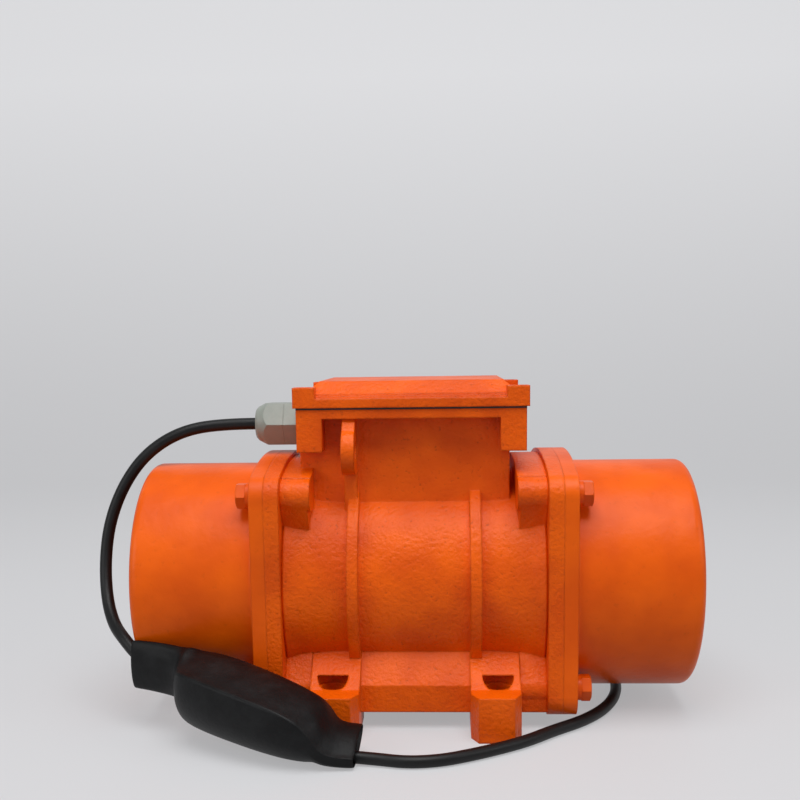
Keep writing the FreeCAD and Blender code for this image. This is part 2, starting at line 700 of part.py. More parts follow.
HUB_IN = f"({JOINT} - spigot_depth)"
HUB_OUT = f"({SHIELD_END} + hub_end)"
BEARING_IN = f"({JOINT} - bearing_inset)"
BEARING_OUT = f"({BEARING_IN} + bearing_width)"
LIP_OUT = f"({BEARING_OUT} + lip_width)"
COVER_BORE = "(cover_r - cover_wall)"


def make_shield(name, side):
    """Square flange, spigots to the barrel and the cover, and the hub that holds the bearing."""
    body = new_body(f"{name}_end_shield")
    flange_plate(body, f"{name}_shield_plate", side, JOINT, "shield_flange")
    spigot_r = "bore_r - fit_gap"
    centring_r = f"{COVER_BORE} - fit_gap"
    rings = profile(body, f"{name}_shield_rings", mirror_points(side, [
        (HUB_IN, f"{spigot_r} - spigot_wall"),
        (HUB_IN, spigot_r),
        (JOINT, spigot_r),
        (JOINT, f"{spigot_r} - spigot_wall"),
    ]))
    outline(rings, mirror_points(side, [
        (SHIELD_END, f"{centring_r} - cover_spigot"),
        (SHIELD_END, centring_r),
        (f"{SHIELD_END} + cover_spigot", centring_r),
        (f"{SHIELD_END} + cover_spigot", f"{centring_r} - cover_spigot"),
    ]))
    revolve(body, rings)
    hub = profile(body, f"{name}_shield_hub", mirror_points(side, [
        (HUB_IN, "lip_r"), (HUB_IN, "hub_r"), (HUB_OUT, "hub_r"), (HUB_OUT, "lip_r"),
    ]))
    revolve(body, hub)
    seat = profile(body, f"{name}_shield_seat", mirror_points(side, [
        (HUB_IN, "0"),
        (HUB_IN, "bearing_r"),
        (BEARING_OUT, "bearing_r"),
        (BEARING_OUT, "lip_r"),
        (LIP_OUT, "lip_r"),
        (LIP_OUT, "seal_r"),
        (HUB_OUT, "seal_r"),
        (HUB_OUT, "0"),
    ]))
    groove(body, seat)
    drill_bolts(body, f"{name}_shield_holes", side, JOINT, "shield_flange")
    keep(body, f"{name}_end_shield")


def drill_bolts(body, name, side, start, length):
    """Clearance holes for the four cover bolts."""
    low = start if side > 0 else f"-({start} + {length})"
    holes = sketch_on(body, "YZ_Plane", name, up="axis_height", out=low)
    for y, z in four_bolts():
        circle(holes, y, z, "bolt_r + 0.5")
    pocket(body, holes, length)


def make_cover(name, side):
    """A deep cup with a rounded end on a square flange."""
    body = new_body(f"{name}_weight_cover")
    flange_plate(body, f"{name}_cover_plate", side, SHIELD_END, "cover_flange")
    cup = profile(body, f"{name}_cover_cup", mirror_points(side, [
        (SHIELD_END, "0"),
        (SHIELD_END, "cover_r"),
        (HALF_LENGTH, "cover_r"),
        (HALF_LENGTH, "0"),
    ]))
    revolve(body, cup)
    end, root = side * value(HALF_LENGTH), side * value(COVER_END)
    outer = value("cover_r")
    soften(body, "Fillet", "cover_rim", lambda e: round_at(e, end, outer))
    soften(body, "Fillet", "cover_blend", lambda e: round_at(e, root, outer))
    inside = profile(body, f"{name}_cover_inside", mirror_points(side, [
        (SHIELD_END, "0"),
        (SHIELD_END, COVER_BORE),
        (f"{HALF_LENGTH} - cover_wall - cover_rim / 2", COVER_BORE),
        (f"{HALF_LENGTH} - cover_wall", f"{COVER_BORE} - cover_rim / 2"),
        (f"{HALF_LENGTH} - cover_wall", "0"),
    ]))
    groove(body, inside)
    drill_bolts(body, f"{name}_cover_holes", side, SHIELD_END, "cover_flange")
    keep(body, f"{name}_weight_cover")


def make_cover_bolts(name, side):
    """Four hexagon bolts with washers that hold a cover and a shield to the lugs."""
    washers = []
    shank = "washer_thick + cover_flange + shield_flange + bolt_grip"
    for number, (y, z) in enumerate(four_bolts(), 1):
        z = f"axis_height + {z}"
        label = f"{name}_cover_bolt_{number}"
        seat = f"({COVER_END} + washer_thick)"
        low, high = span(side, seat, f"{seat} + bolt_head")
        prism = hex_bar(f"{label}_hex", low, "bolt_af", "bolt_head", y, z, 30)
        crown = primitive("Cone", f"{label}_crown", Height="bolt_head")
        wide, tip = "bolt_af / 2 + bolt_head / tan(30 deg)", "bolt_af * 0.475"
        crown.setExpression("Radius1", formula(wide if side > 0 else tip))
        crown.setExpression("Radius2", formula(tip if side > 0 else wide))
        place(crown, low, y, z, ALONG_X)
        head = common(f"{label}_head", prism, crown)
        start, end = span(side, f"{seat} - ({shank})", seat)
        bar = rod(f"{label}_shank", start, "bolt_r", shank, y, z)
        keep(fuse(label, head, bar), label)
        low, high = span(side, COVER_END, seat)
        disc = rod(f"{label}_washer_disc", low, "washer_r", "washer_thick", y, z)
        hole = rod(f"{label}_washer_hole", low, "bolt_r + fit_gap", "washer_thick", y, z)
        washers.append(cut(f"{label}_washer", disc, hole))
    keep(group(f"{name}_cover_washers", *washers), f"{name}_cover_washers")


# ---- Bearings, shaft, rotor and stator ----


def make_bearing(name, side):
    """Outer and inner ring of a sealed ball bearing, and the lip seal beside it."""
    groove_r = "(race_height / 2)"
    middle = f"({BEARING_IN} + bearing_width / 2)"
    outer = turned(f"{name}_bearing_outer_ring", mirror_points(side, [
        (BEARING_IN, "bearing_r - race_height"),
        (BEARING_IN, "bearing_r"),
        (BEARING_OUT, "bearing_r"),
        (BEARING_OUT, "bearing_r - race_height"),
        (f"{middle} + {groove_r}", "bearing_r - race_height"),
        (middle, f"bearing_r - race_height + {groove_r}"),
        (f"{middle} - {groove_r}", "bearing_r - race_height"),
    ]))
    keep(outer, f"{name}_bearing_outer_ring")
    inner = turned(f"{name}_bearing_inner_ring", mirror_points(side, [
        (BEARING_IN, "bearing_bore_r"),
        (BEARING_IN, "bearing_bore_r + race_height"),
        (f"{middle} - {groove_r}", "bearing_bore_r + race_height"),
        (middle, f"bearing_bore_r + race_height - {groove_r}"),
        (f"{middle} + {groove_r}", "bearing_bore_r + race_height"),
        (BEARING_OUT, "bearing_bore_r + race_height"),
        (BEARING_OUT, "bearing_bore_r"),
    ]))
    keep(inner, f"{name}_bearing_inner_ring")
    seal = turned(f"{name}_shaft_seal", mirror_points(side, [
        (LIP_OUT, "bearing_bore_r + fit_gap"),
        (LIP_OUT, "seal_r"),
        (HUB_OUT, "seal_r"),
        (HUB_OUT, "bearing_bore_r + fit_gap"),
    ]))
    keep(seal, f"{name}_shaft_seal")


def make_shaft():
    """One stepped shaft with bearing seats, ring grooves and chamfered ends."""
    half = [
        (BEARING_IN, "shaft_mid_r"),
        (BEARING_IN, "bearing_bore_r"),
        (RING_IN, "bearing_bore_r"),
        (RING_IN, "bearing_bore_r - ring_depth"),
        (f"{RING_IN} + ring_thick", "bearing_bore_r - ring_depth"),
        (f"{RING_IN} + ring_thick", "bearing_bore_r"),
        (f"{SHAFT_END} - ring_depth", "bearing_bore_r"),
        (SHAFT_END, "bearing_bore_r - ring_depth"),
        (SHAFT_END, "0"),
    ]
    keep(turned("shaft", half + mirror_points(-1, half)), "shaft")


def make_rotor_and_stator():
    """The squirrel-cage rotor, the stator stack in the bore and its end turns."""
    rotor_r = "stator_bore_r - air_gap"
    core = turned("rotor_core", [
        ("-core_half", "shaft_mid_r"),
        ("-core_half", rotor_r),
        ("core_half", rotor_r),
        ("core_half", "shaft_mid_r"),
    ])
    keep(core, "rotor_core")
    stack = turned("stator_core", [
        ("-core_half", "stator_bore_r"),
        ("-core_half", "bore_r"),
        ("core_half", "bore_r"),
        ("core_half", "stator_bore_r"),
    ])
    keep(stack, "stator_core")
    cages, windings = [], []
    for name, side in SIDES:
        cage = turned(f"{name}_cage_ring", mirror_points(side, [
            ("core_half", f"{rotor_r} - end_ring_wall"),
            ("core_half", rotor_r),
            ("core_half + end_ring", rotor_r),
            ("core_half + end_ring", f"{rotor_r} - end_ring_wall"),
        ]))
        cages.append(cage)
        turns = turned(f"{name}_end_winding", mirror_points(side, [
            ("core_half", "winding_in"),
            ("core_half", "winding_out"),
            ("core_half + winding_length * 0.75", "winding_out"),
            ("core_half + winding_length", "winding_out - winding_length * 0.25"),
            ("core_half + winding_length", "winding_in + winding_length * 0.25"),
            ("core_half + winding_length * 0.75", "winding_in"),
        ]))
        windings.append(turns)
    keep(group("cage_rings", *cages), "rotor_cage_rings")
    keep(group("windings", *windings), "stator_winding")


def make_weight(label, side, start, bore):
    """A half-moon weight that hangs from a slit clamp hub, with its clamp screw."""
    low, high = span(side, start, f"{start} + weight_thick")
    moon = primitive("Cylinder", f"{label}_moon", Radius="weight_r", Height="weight_thick")
    moon.Angle = 180
    place(moon, low, "0", "axis_height", Rotation(Vector(1, 0, 0), -90) * ALONG_X)
    hub = rod(f"{label}_hub", low, "weight_hub_r", "weight_thick")
    slit = primitive(
        "Box", f"{label}_slit", Length="weight_thick", Width="clamp_slit", Height="weight_hub_r"
    )
    place(slit, low, "-clamp_slit / 2", "axis_height")
    bore_rod = rod(f"{label}_bore", low, bore, "weight_thick")
    screw = primitive("Cylinder", f"{label}_screw", Radius="clamp_screw_r", Height="weight_hub_r * 1.4")
    across = Rotation(Vector(1, 0, 0), -90)
    place(screw, f"({low} + {high}) / 2", "-weight_hub_r * 0.7", "axis_height + clamp_screw_up", across)
    way = primitive("Cylinder", f"{label}_screw_way", Radius="clamp_screw_r", Height="weight_hub_r * 2")
    place(way, f"({low} + {high}) / 2", "-weight_hub_r", "axis_height + clamp_screw_up", across)
    solid = fuse(f"{label}_solid", moon, hub)
    keep(cut(label, solid, fuse(f"{label}_cuts", slit, bore_rod, way)), label)
    keep(screw, f"{label}_screw")


def make_retaining_ring(name, side):
    """The ring in a groove of the shaft that keeps the weights on."""
    low, high = span(side, RING_IN, f"{RING_IN} + ring_thick")
    disc = rod(f"{name}_ring_disc", low, "ring_r", "ring_thick")
    hole = rod(f"{name}_ring_hole", low, "bearing_bore_r - ring_depth", "ring_thick")
    label = f"{name}_retaining_ring"
    keep(cut(label, disc, hole), label)


# ---- Terminal box fittings ----


def make_lid():
    """A lid with a stepped edge, a raised middle with sloped sides and a pad at each corner."""
    body = new_body("terminal_box_lid")
    half_x = f"({BOX_SPAN} / 2 + lid_overhang)"
    half_y = "(rim_half + lid_overhang)"

    def layer(name, inset, base, rise, taper="0"):
        sketch = sketch_on(body, "XY_Plane", name, right=RIM_MIDDLE, out=f"{LID_LOW} + {base}")
        across, deep = f"{half_x} - {inset}", f"{half_y} - {inset}"
        rectangle(sketch, f"-({across})", across, f"-({deep})", deep)
        pad(body, sketch, rise, taper)

    layer("lid_edge_plate", "0", "0", "lid_edge")
    soften(body, "Fillet", "box_round", lambda e: straight_along(e, Vector(0, 0, 1)))
    layer("lid_first_step", "lid_step", "lid_edge", "lid_step_rise")
    layer("lid_second_step", "lid_step * 2", "lid_edge + lid_step_rise", "lid_step_rise")
    raised = "lid_top - lid_edge - lid_step_rise * 2"
    layer("lid_middle", "lid_step * 3", "lid_edge + lid_step_rise * 2", raised, "-lid_slope")
    pads = sketch_on(body, "XY_Plane", "lid_pads", right=RIM_MIDDLE, out=LID_LOW)
    for sx in (-1, 1):
        for sy in (-1, 1):
            outline(pads, [
                (f"{sx} * {half_x}", f"{sy} * {half_y}"),
                (f"{sx} * {half_x}", f"{sy} * ({half_y} - pad_side)"),
                (f"{sx} * ({half_x} - pad_side)", f"{sy} * ({half_y} - pad_side)"),
                (f"{sx} * ({half_x} - pad_side)", f"{sy} * {half_y}"),
            ])
    pad(body, pads, "pad_top")
    hollow = sketch_on(body, "XY_Plane", "lid_hollow", right=RIM_MIDDLE, out=LID_LOW)
    across, deep = f"{half_x} - pad_side - lid_wall", f"{half_y} - pad_side - lid_wall"
    rectangle(hollow, f"-({across})", across, f"-({deep})", deep)
    pocket(body, hollow, "lid_top - lid_wall")
    holes = sketch_on(body, "XY_Plane", "lid_screw_holes", out=LID_LOW)
    for x, y in lid_screw_places():
        circle(holes, x, y, "lid_screw_r + fit_gap")
    pocket(body, holes, "pad_top")
    recess = f"{LID_LOW} + pad_top - lid_screw_sink"
    recesses = sketch_on(body, "XY_Plane", "lid_screw_recesses", out=recess)
    for x, y in lid_screw_places():
        circle(recesses, x, y, "lid_screw_sink_r")
    pocket(body, recesses, "lid_screw_sink")
    keep(body, "terminal_box_lid")


def make_lid_fixings():
    """The gasket under the lid and the four socket-head screws."""
    body = new_body("lid_gasket")
    sheet = sketch_on(body, "XY_Plane", "gasket_outline", out="rim_top")
    rectangle(sheet, "-box_left", "rim_right", "-rim_half", "rim_half")
    pad(body, sheet, "gasket_thick")
    openings = sketch_on(body, "XY_Plane", "gasket_openings", out="rim_top")
    inner = "box_half - box_wall"
    rectangle(openings, "box_wall - box_left", "box_right - box_wall", f"-({inner})", inner)
    for x, y in lid_screw_places():
        circle(openings, x, y, "lid_screw_r + fit_gap")
    pocket(body, openings, "gasket_thick")
    keep(body, "lid_gasket")
    for number, (x, y) in enumerate(lid_screw_places(), 1):
        label = f"lid_screw_{number}"
        seat = f"({LID_LOW} + pad_top - lid_screw_sink)"
        low = "rim_top - lid_screw_depth"
        shank = primitive("Cylinder", f"{label}_shank", Radius="lid_screw_r", Height=f"{seat} - ({low})")
        place(shank, x, y, low)
        head = primitive("Cylinder", f"{label}_head", Radius="lid_screw_head_r", Height="lid_screw_head")
        place(head, x, y, seat)
        socket = doc.addObject("Part::Prism", f"{label}_socket")
        socket.Polygon = 6
        socket.setExpression("Circumradius", formula("lid_socket_r"))
        socket.setExpression("Height", formula("lid_screw_head * 0.6"))
        place(socket, x, y, f"{seat} + lid_screw_head * 0.4")
        keep(cut(label, fuse(f"{label}_solid", shank, head), socket), label)


def make_terminals():
    """The terminal block on the box floor with its row of studs."""
    block = primitive("Box", "block", Length="block_length", Width="block_width", Height="block_height")
    place(block, "-block_length / 2", "-block_width / 2", "box_floor")
    keep(block, "terminal_block")
    studs = []
    for number in range(3):
        stud = primitive("Cylinder", f"stud_{number}", Radius="stud_r", Height="stud_height")
        place(stud, f"{number - 1} * stud_pitch", "0", "box_floor + block_height")
        studs.append(stud)
    keep(group("studs", *studs), "terminal_studs")


def make_gland():
    """The cable gland: washer, hexagon body, domed cap nut, rubber insert and locknut."""
    wall = "-box_left"
    body_out = f"({wall} - gland_washer)"
    cap_in = f"({body_out} - gland_hex)"
    cap_out = f"({cap_in} - gland_cap)"
    corner = "(gland_af / sqrt(3))"
    ring = turned("gland_washer_ring", [
        (body_out, "gland_thread_r + fit_gap"),
        (body_out, "gland_washer_r"),
        (wall, "gland_washer_r"),
        (wall, "gland_thread_r + fit_gap"),
    ], "gland_height")
    keep(ring, "gland_washer")
    inner_end = f"({wall} + box_wall + locknut * 2)"
    core = turned("gland_core", [
        (f"{cap_in} - gland_hex / 2", "gland_bore_r"),
        (f"{cap_in} - gland_hex / 2", "gland_thread_r * 0.85"),
        (cap_in, "gland_thread_r * 0.85"),
        (cap_in, corner),
        (body_out, corner),
        (body_out, "gland_thread_r"),
        (inner_end, "gland_thread_r"),
        (inner_end, "gland_bore_r"),
    ], "gland_height")
    grip = hex_bar("gland_grip", cap_in, "gland_af", "gland_hex", z="gland_height", turn=30)
    sleeve_out = f"({cap_in} - gland_hex)"
    through = f"{inner_end} - {sleeve_out}"
    sleeve = rod("gland_sleeve", sleeve_out, "gland_thread_r", through, z="gland_height")
    keep(common("gland_body_shape", core, fuse("gland_hull", grip, sleeve)), "gland_body")
    dome = turned("gland_dome", [
        (cap_out, "cable_r"),
        (cap_out, "gland_af * 0.36"),
        (f"{cap_out} + gland_cap * 0.08", "gland_af * 0.42"),
        (f"{cap_out} + gland_cap * 0.3", "gland_af * 0.5"),
        (f"{cap_out} + gland_cap * 0.45", corner),
        (cap_in, corner),
        (cap_in, "gland_thread_r * 0.85"),
        (f"{cap_in} - gland_hex / 2", "gland_thread_r * 0.85"),
        (f"{cap_in} - gland_hex / 2", "gland_bore_r"),
        (f"{cap_out} + gland_cap * 0.2", "gland_bore_r"),
        (f"{cap_out} + gland_cap * 0.1", "cable_r"),
    ], "gland_height")
    cap_hex = hex_bar("gland_cap_hex", cap_out, "gland_af", "gland_cap", z="gland_height", turn=30)
    keep(common("gland_cap_shape", dome, cap_hex), "gland_cap_nut")
    insert = turned("gland_insert_ring", [
        (f"{cap_out} + gland_cap * 0.2", "cable_r"),
        (f"{cap_out} + gland_cap * 0.2", "gland_bore_r"),
        (cap_in, "gland_bore_r"),
        (cap_in, "cable_r"),
    ], "gland_height")
    keep(insert, "gland_insert")
    inside = f"{wall} + box_wall"
    nut_hex = hex_bar("locknut_hex", inside, "locknut_af", "locknut", z="gland_height", turn=30)
    nut_hole = rod("locknut_hole", inside, "gland_thread_r", "locknut", z="gland_height")
    keep(cut("locknut_shape", nut_hex, nut_hole), "gland_locknut")
    tail = rod("tail", cap_out, "cable_r", f"{inner_end} - ({cap_out}) + locknut", z="gland_height")
    keep(tail, "lead_tail")


# ---- Leads, capacitor, coil and plug ----


def unit(vector):
    return Vector(vector).normalize()


def rounded_path(name, route):
    """Straight runs through a route, joined by the largest arcs that the runs allow."""
    points = [Vector(*point) for point in route]
    edges, start, radii = [], points[0], []
    for before, corner, after in zip(points, points[1:], points[2:]):
        arriving, leaving = unit(corner - before), unit(after - corner)
        half_turn = arriving.getAngle(leaving) / 2
        setback = 0.45 * min((corner - before).Length, (after - corner).Length)
        radius = setback / math.tan(half_turn)
        radii.append(radius)
        first, last = corner - arriving * setback, corner + leaving * setback
        inward = unit(leaving - arriving)
        middle = corner + inward * (radius / math.cos(half_turn) - radius)
        edges.append(Part.LineSegment(start, first).toShape())
        edges.append(Part.Arc(first, middle, last).toShape())
        start = last
    edges.append(Part.LineSegment(start, points[-1]).toShape())
    path = doc.addObject("Part::Feature", name)
    path.Shape = Part.Wire(edges)
    print(f"{name}: radii {' '.join(f'{r:.0f}' for r in radii)}, length {path.Shape.Length:.0f}")
    return path


def make_cord(label, route, radius):
    """A round cord swept along a rounded route, with its volume set against its length."""
    path = rounded_path(f"{label}_path", route)
    ring = primitive("Circle", f"{label}_section", Radius=radius)
    start, onward = Vector(*route[0]), Vector(*route[1]) - Vector(*route[0])
    ring.Placement = Placement(start, Rotation(Vector(0, 0, 1), onward))
    sweep = doc.addObject("Part::Sweep", label)
    sweep.Sections = [ring]
    sweep.Spine = (path, [f"Edge{i + 1}" for i in range(len(path.Shape.Edges))])
    sweep.Solid = True
    doc.recompute()
    expected = math.pi * value(radius) ** 2 * path.Shape.Length
    if abs(sweep.Shape.Volume - expected) > 0.01 * expected:
        raise ValueError(f"{label} has a volume of {sweep.Shape.Volume}, not {expected}")
    keep(sweep, label)


# Where the sleeve's sections stand: x, y, heading, then half width, half height and middle as formulas.
SLEEVE_SECTIONS = [
    (-158, -62.5, -17, "cable_r", "sleeve_r * 0.6", "35"),
    (-133, -68, -25, "cable_r * 1.8", "sleeve_r * 0.66", "33"),
    (-117, -75, -30, "sleeve_r * 0.85", "sleeve_r * 0.88", "sleeve_r + 9.5"),
    (-97, -86.5, -30, "sleeve_r", "sleeve_r", "sleeve_r + 5.5"),
    (-62, -106.5, -30, "sleeve_r * 0.92", "sleeve_r * 0.92", "sleeve_r - 1"),
    (-49, -112, -20, "sleeve_r * 0.8", "sleeve_r * 0.45", "sleeve_r * 0.5"),
    (-28, -115.5, -5, "sleeve_r * 0.66", "cord_r * 1.4", "cord_r * 1.4"),
]


def make_capacitor():
    """The run capacitor in its shrink sleeve, pinched upright at one end and flat at the other."""
    wires = []
    for x, y, heading, half_width, half_height, middle in SLEEVE_SECTIONS:
        ring = Part.Circle(Vector(0, 0, 0), Vector(1, 0, 0), 1).toShape()
        squeeze = FreeCAD.Matrix()
        squeeze.scale(1, value(half_width), value(half_height))
        wire = Part.Wire(ring.transformGeometry(squeeze))
        wire.Placement = Placement(Vector(x, y, value(middle)), Rotation(Vector(0, 0, 1), heading))
        wires.append(wire)
    sheath = doc.addObject("Part::Feature", "sleeve_sheath")
    sheath.Shape = Part.makeLoft(wires, True, True)
    ends = (SLEEVE_SECTIONS[2], SLEEVE_SECTIONS[4])
    first, last = [Vector(x, y, value(middle)) for x, y, _, _, _, middle in ends]
    along = unit(last - first)
    can = primitive("Cylinder", "can", Radius="capacitor_r", Height="capacitor_length")
    turn = Rotation(Vector(0, 0, 1), along)
    can.Placement = Placement((first + last) / 2 - along * value("capacitor_length / 2"), turn)
    keep(cut("sleeve", sheath, can), "capacitor_sleeve")
    keep(can, "capacitor")


COIL_WIDE = "(cord_r * 2 * coil_turns_wide)"
COIL_HIGH = "(cord_r * 2 * coil_turns_high)"


def make_coil():
    """The put-away turns as one closed ring, the band that ties them and the short tail to the plug."""
    outer = primitive("Cylinder", "coil_outer", Radius=f"coil_mean_r + {COIL_WIDE} / 2", Height=COIL_HIGH)
    inner = primitive("Cylinder", "coil_inner", Radius=f"coil_mean_r - {COIL_WIDE} / 2", Height=COIL_HIGH)
    for ring in (outer, inner):
        place(ring, "coil_x", "coil_y", "tie_thick")
    coil = cut("coil", outer, inner)
    keep(coil, "cord_coil")
    depth = f"{COIL_WIDE} + tie_thick * 4"
    band = primitive("Box", "band", Length="tie_width", Width=depth, Height=f"{COIL_HIGH} + tie_thick * 2")
    place(band, "coil_x - tie_width / 2", f"coil_y + coil_mean_r - ({depth}) / 2", "0")
    keep(cut("band_loop", band, coil), "cord_tie")


def make_plug():
    """A moulded two-pin plug on the floor beside the coil."""
    body = new_body("mains_plug")
    sketch = sketch_on(body, "XY_Plane", "plug_outline")
    outline(sketch, [
        ("0", "-cord_r * 1.3"),
        ("plug_length * 0.4", "-plug_width / 2"),
        ("plug_length", "-plug_width / 2"),
        ("plug_length", "plug_width / 2"),
        ("plug_length * 0.4", "plug_width / 2"),
        ("0", "cord_r * 1.3"),
    ])
    pad(body, sketch, "plug_height")
    body.Placement = PLUG_PLACE
    keep(body, "mains_plug")
    pins = []
    for sy in (-1, 1):
        pin_rod = primitive("Cylinder", f"pin_{sy + 1}", Radius="pin_r", Height="pin_length")
        at = Vector(value("plug_length"), sy * value("pin_pitch / 2"), value("plug_height / 2"))
        pin_rod.Placement = PLUG_PLACE * Placement(at, ALONG_X)
        pins.append(pin_rod)
    keep(group("pins", *pins), "plug_pins")


# ---- The whole motor ----


def check_objects():
    """Stops if any object failed or any sub-part's shape is missing or not valid."""
    for item in doc.Objects:
        if {"Invalid", "Error"} & set(item.State):
            raise ValueError(f"{item.Name} is {item.State}")
    for item in NODES:
        if item.Shape.isNull() or not item.Shape.isValid():
            raise ValueError(f"{item.Label} has no valid shape")


def main():
    make_housing()
    for name, side in SIDES:
        make_shield(name, side)
        make_cover(name, side)
        make_cover_bolts(name, side)
        make_bearing(name, side)
        make_weight(f"{name}_fixed_weight", side, FIXED_IN, "bearing_bore_r")
        make_weight(f"{name}_adjustable_weight", side, FREE_IN, "bearing_bore_r + fit_gap")
        make_retaining_ring(name, side)
    make_shaft()
    make_rotor_and_stator()
    make_lid()
    make_lid_fixings()
    make_terminals()
    make_gland()
    make_cord("motor_lead", LEAD_ROUTE, "cable_r")
    make_capacitor()
    make_cord("supply_cord", CORD_ROUTE, "cord_r")
    make_coil()
    make_cord("coil_tail", TAIL_ROUTE, "cord_r")
    make_plug()
    doc.recompute()
    check_objects()
    os.makedirs("parts", exist_ok=True)
    for item in NODES:
        item.Shape.exportStep(os.path.join("parts", item.Label + ".step"))
        print(f"{item.Label:32s} {item.Shape.Volume / 1000:10.2f} cm3  solids {len(item.Shape.Solids)}")


main()
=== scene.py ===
# %% [markdown]
# A vibration motor for feeders and hoppers. An induction motor sits in a ribbed
# casting on four feet. Its shaft carries unbalanced weights under the two round
# end covers, and a terminal box on top takes the lead through a cable gland.
# The solid parts come from the CAD model and keep their place and shape here.
# This file gives each of them its finish, and models the soft pieces in mesh code.

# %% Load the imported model
import bpy
import json
import math
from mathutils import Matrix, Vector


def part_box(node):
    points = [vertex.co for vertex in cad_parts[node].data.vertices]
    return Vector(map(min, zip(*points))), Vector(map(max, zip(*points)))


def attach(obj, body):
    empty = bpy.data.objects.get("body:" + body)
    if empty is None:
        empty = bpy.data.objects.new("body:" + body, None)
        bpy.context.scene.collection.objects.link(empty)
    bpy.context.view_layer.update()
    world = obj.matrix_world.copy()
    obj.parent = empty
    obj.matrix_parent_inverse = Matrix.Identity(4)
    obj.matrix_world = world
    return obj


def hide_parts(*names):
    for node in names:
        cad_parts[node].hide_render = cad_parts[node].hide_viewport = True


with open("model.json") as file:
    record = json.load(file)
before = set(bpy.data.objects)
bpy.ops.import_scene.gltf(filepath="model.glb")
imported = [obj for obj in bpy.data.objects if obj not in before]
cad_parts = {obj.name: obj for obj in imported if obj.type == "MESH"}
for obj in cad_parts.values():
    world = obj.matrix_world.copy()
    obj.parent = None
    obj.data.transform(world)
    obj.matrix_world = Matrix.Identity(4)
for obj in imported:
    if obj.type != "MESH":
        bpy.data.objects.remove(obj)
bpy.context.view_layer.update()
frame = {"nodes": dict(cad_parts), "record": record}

MM = 0.001
bpy.ops.object.select_all(action="DESELECT")

# %% [markdown]
# The camera is a normal lens about 0.6 m in front of the motor, a little above it
# and turned slightly down. A camera added in Blender looks down its own -Z, so a
# quarter turn about X brings the view level. The vertical shift frames the motor
# low in the picture without tilting the uprights.

# %% Camera
CAMERA_PLACE = (0.01762, -0.61728, 0.20769)
PITCH, YAW, ROLL = 0.13994, -0.0443, -0.01387
bpy.ops.object.camera_add(location=CAMERA_PLACE,
                          rotation=(math.pi / 2 - PITCH, 0, -YAW))
camera = bpy.context.object
camera.name = "camera"
camera.rotation_euler.rotate_axis("Z", ROLL)
camera.data.sensor_width = 36
camera.data.lens = 47.36
camera.data.shift_y = 0.12
camera.data.clip_start = 0.02
bpy.context.scene.camera = camera
print("camera at", [round(v, 3) for v in camera.location])

# %% [markdown]
# The motor lead is a 7 mm rubber cable. It leaves the gland level, droops in one
# free arc and runs into the upright mouth of the shrink sleeve. A cable is a curve
# with a round bevel: the points are its control points, and a NURBS spline of
# order 3 makes one smooth line of them, as a stiff cable does.

# %% Motor lead
LEAD_DIAMETER = 7.0
LEAD_ROUTE = [
    (-93.3, 0, 164.5), (-116, 0, 164.5), (-139, -4, 160.5), (-158, -9, 148.5),
    (-171, -13.5, 130.5), (-179, -18, 109), (-181, -23.5, 87), (-178, -33, 67),
    (-170.5, -46, 55), (-161, -57, 49), (-152, -62.5, 41), (-142, -65.3, 36)]


def cable(name, route, diameter):
    """A round cable on one smooth spline through the route, in millimetres.

    A curve's box grows by the radius of its points, so they get a radius of a millimetre
    and the bevel, which is multiplied by it, is given in millimetres.
    """
    curve = bpy.data.curves.new(name, "CURVE")
    curve.dimensions = "3D"
    curve.resolution_u = 10
    curve.bevel_depth = diameter / 2
    curve.bevel_resolution = 5
    curve.use_fill_caps = True
    line = curve.splines.new("NURBS")
    line.points.add(len(route) - 1)
    for point, place in zip(line.points, route):
        point.co = [value * MM for value in place] + [1]
        point.radius = MM
    line.order_u = 3
    line.use_endpoint_u = True
    piece = bpy.data.objects.new(name, curve)
    bpy.context.scene.collection.objects.link(piece)
    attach(piece, "motor")
    print(name, "has", len(route), "control points,", round(line.calc_length() / MM), "mm")
    return piece


lead = cable("lead_cable", LEAD_ROUTE, LEAD_DIAMETER)

# %% [markdown]
# The supply cord leaves the flat end of the sleeve, lies on the floor round the
# right end of the motor, and is put away behind it in a flat coil: three turns
# beside each other below and two and a half on top of them. The coil is more
# points of the same spline, fourteen to a turn, worked out by one loop.

# %% Supply cord
CORD_DIAMETER = 6.5
COIL_CENTRE = (92, 142)
OUTER, MIDDLE, INNER = 42.5, 36.0, 29.5
LOWER, UPPER = 4.55, 11.05
STEPS = 14
LAST_STEPS = 6
# A turn keeps its radius and height up to this share of it, then moves over to the next.
KEPT_SHARE = 0.72
CORD_ROUTE = [
    (-33, -112, 4), (-19, -113, 3.25), (-3, -117.5, 3.25), (14, -115, 3.25),
    (30, -107, 3.25), (44, -98.5, 3.25), (59, -88, 3.25), (74.5, -72.5, 3.25),
    (92, -58, 3.25), (107, -38, 3.25), (117, -13, 3.25), (121, 14, 3.25),
    (124.5, 41, 3.25), (130, 68, 3.25), (134, 93, 3.25), (134.5, 117, 4),
    (134.5, 142, 4.55)]
# Each turn: its radius, its height, then both again for where it leads to.
COIL_TURNS = [
    (OUTER, LOWER, MIDDLE, LOWER), (MIDDLE, LOWER, INNER, LOWER), (INNER, LOWER, INNER, UPPER),
    (INNER, UPPER, MIDDLE, UPPER), (MIDDLE, UPPER, OUTER, UPPER)]
TAIL_ROUTE = [
    (49.5, 150, 11), (49.5, 136, 10.5), (44, 123, 9.5), (34, 112.5, 8.3),
    (21, 107, 7.5), (7, 107, 7.5)]


def coil_point(radius, step, height):
    """A place on a turn of the coil."""
    angle = 2 * math.pi * step / STEPS
    return (COIL_CENTRE[0] + radius * math.cos(angle),
            COIL_CENTRE[1] + radius * math.sin(angle), height)


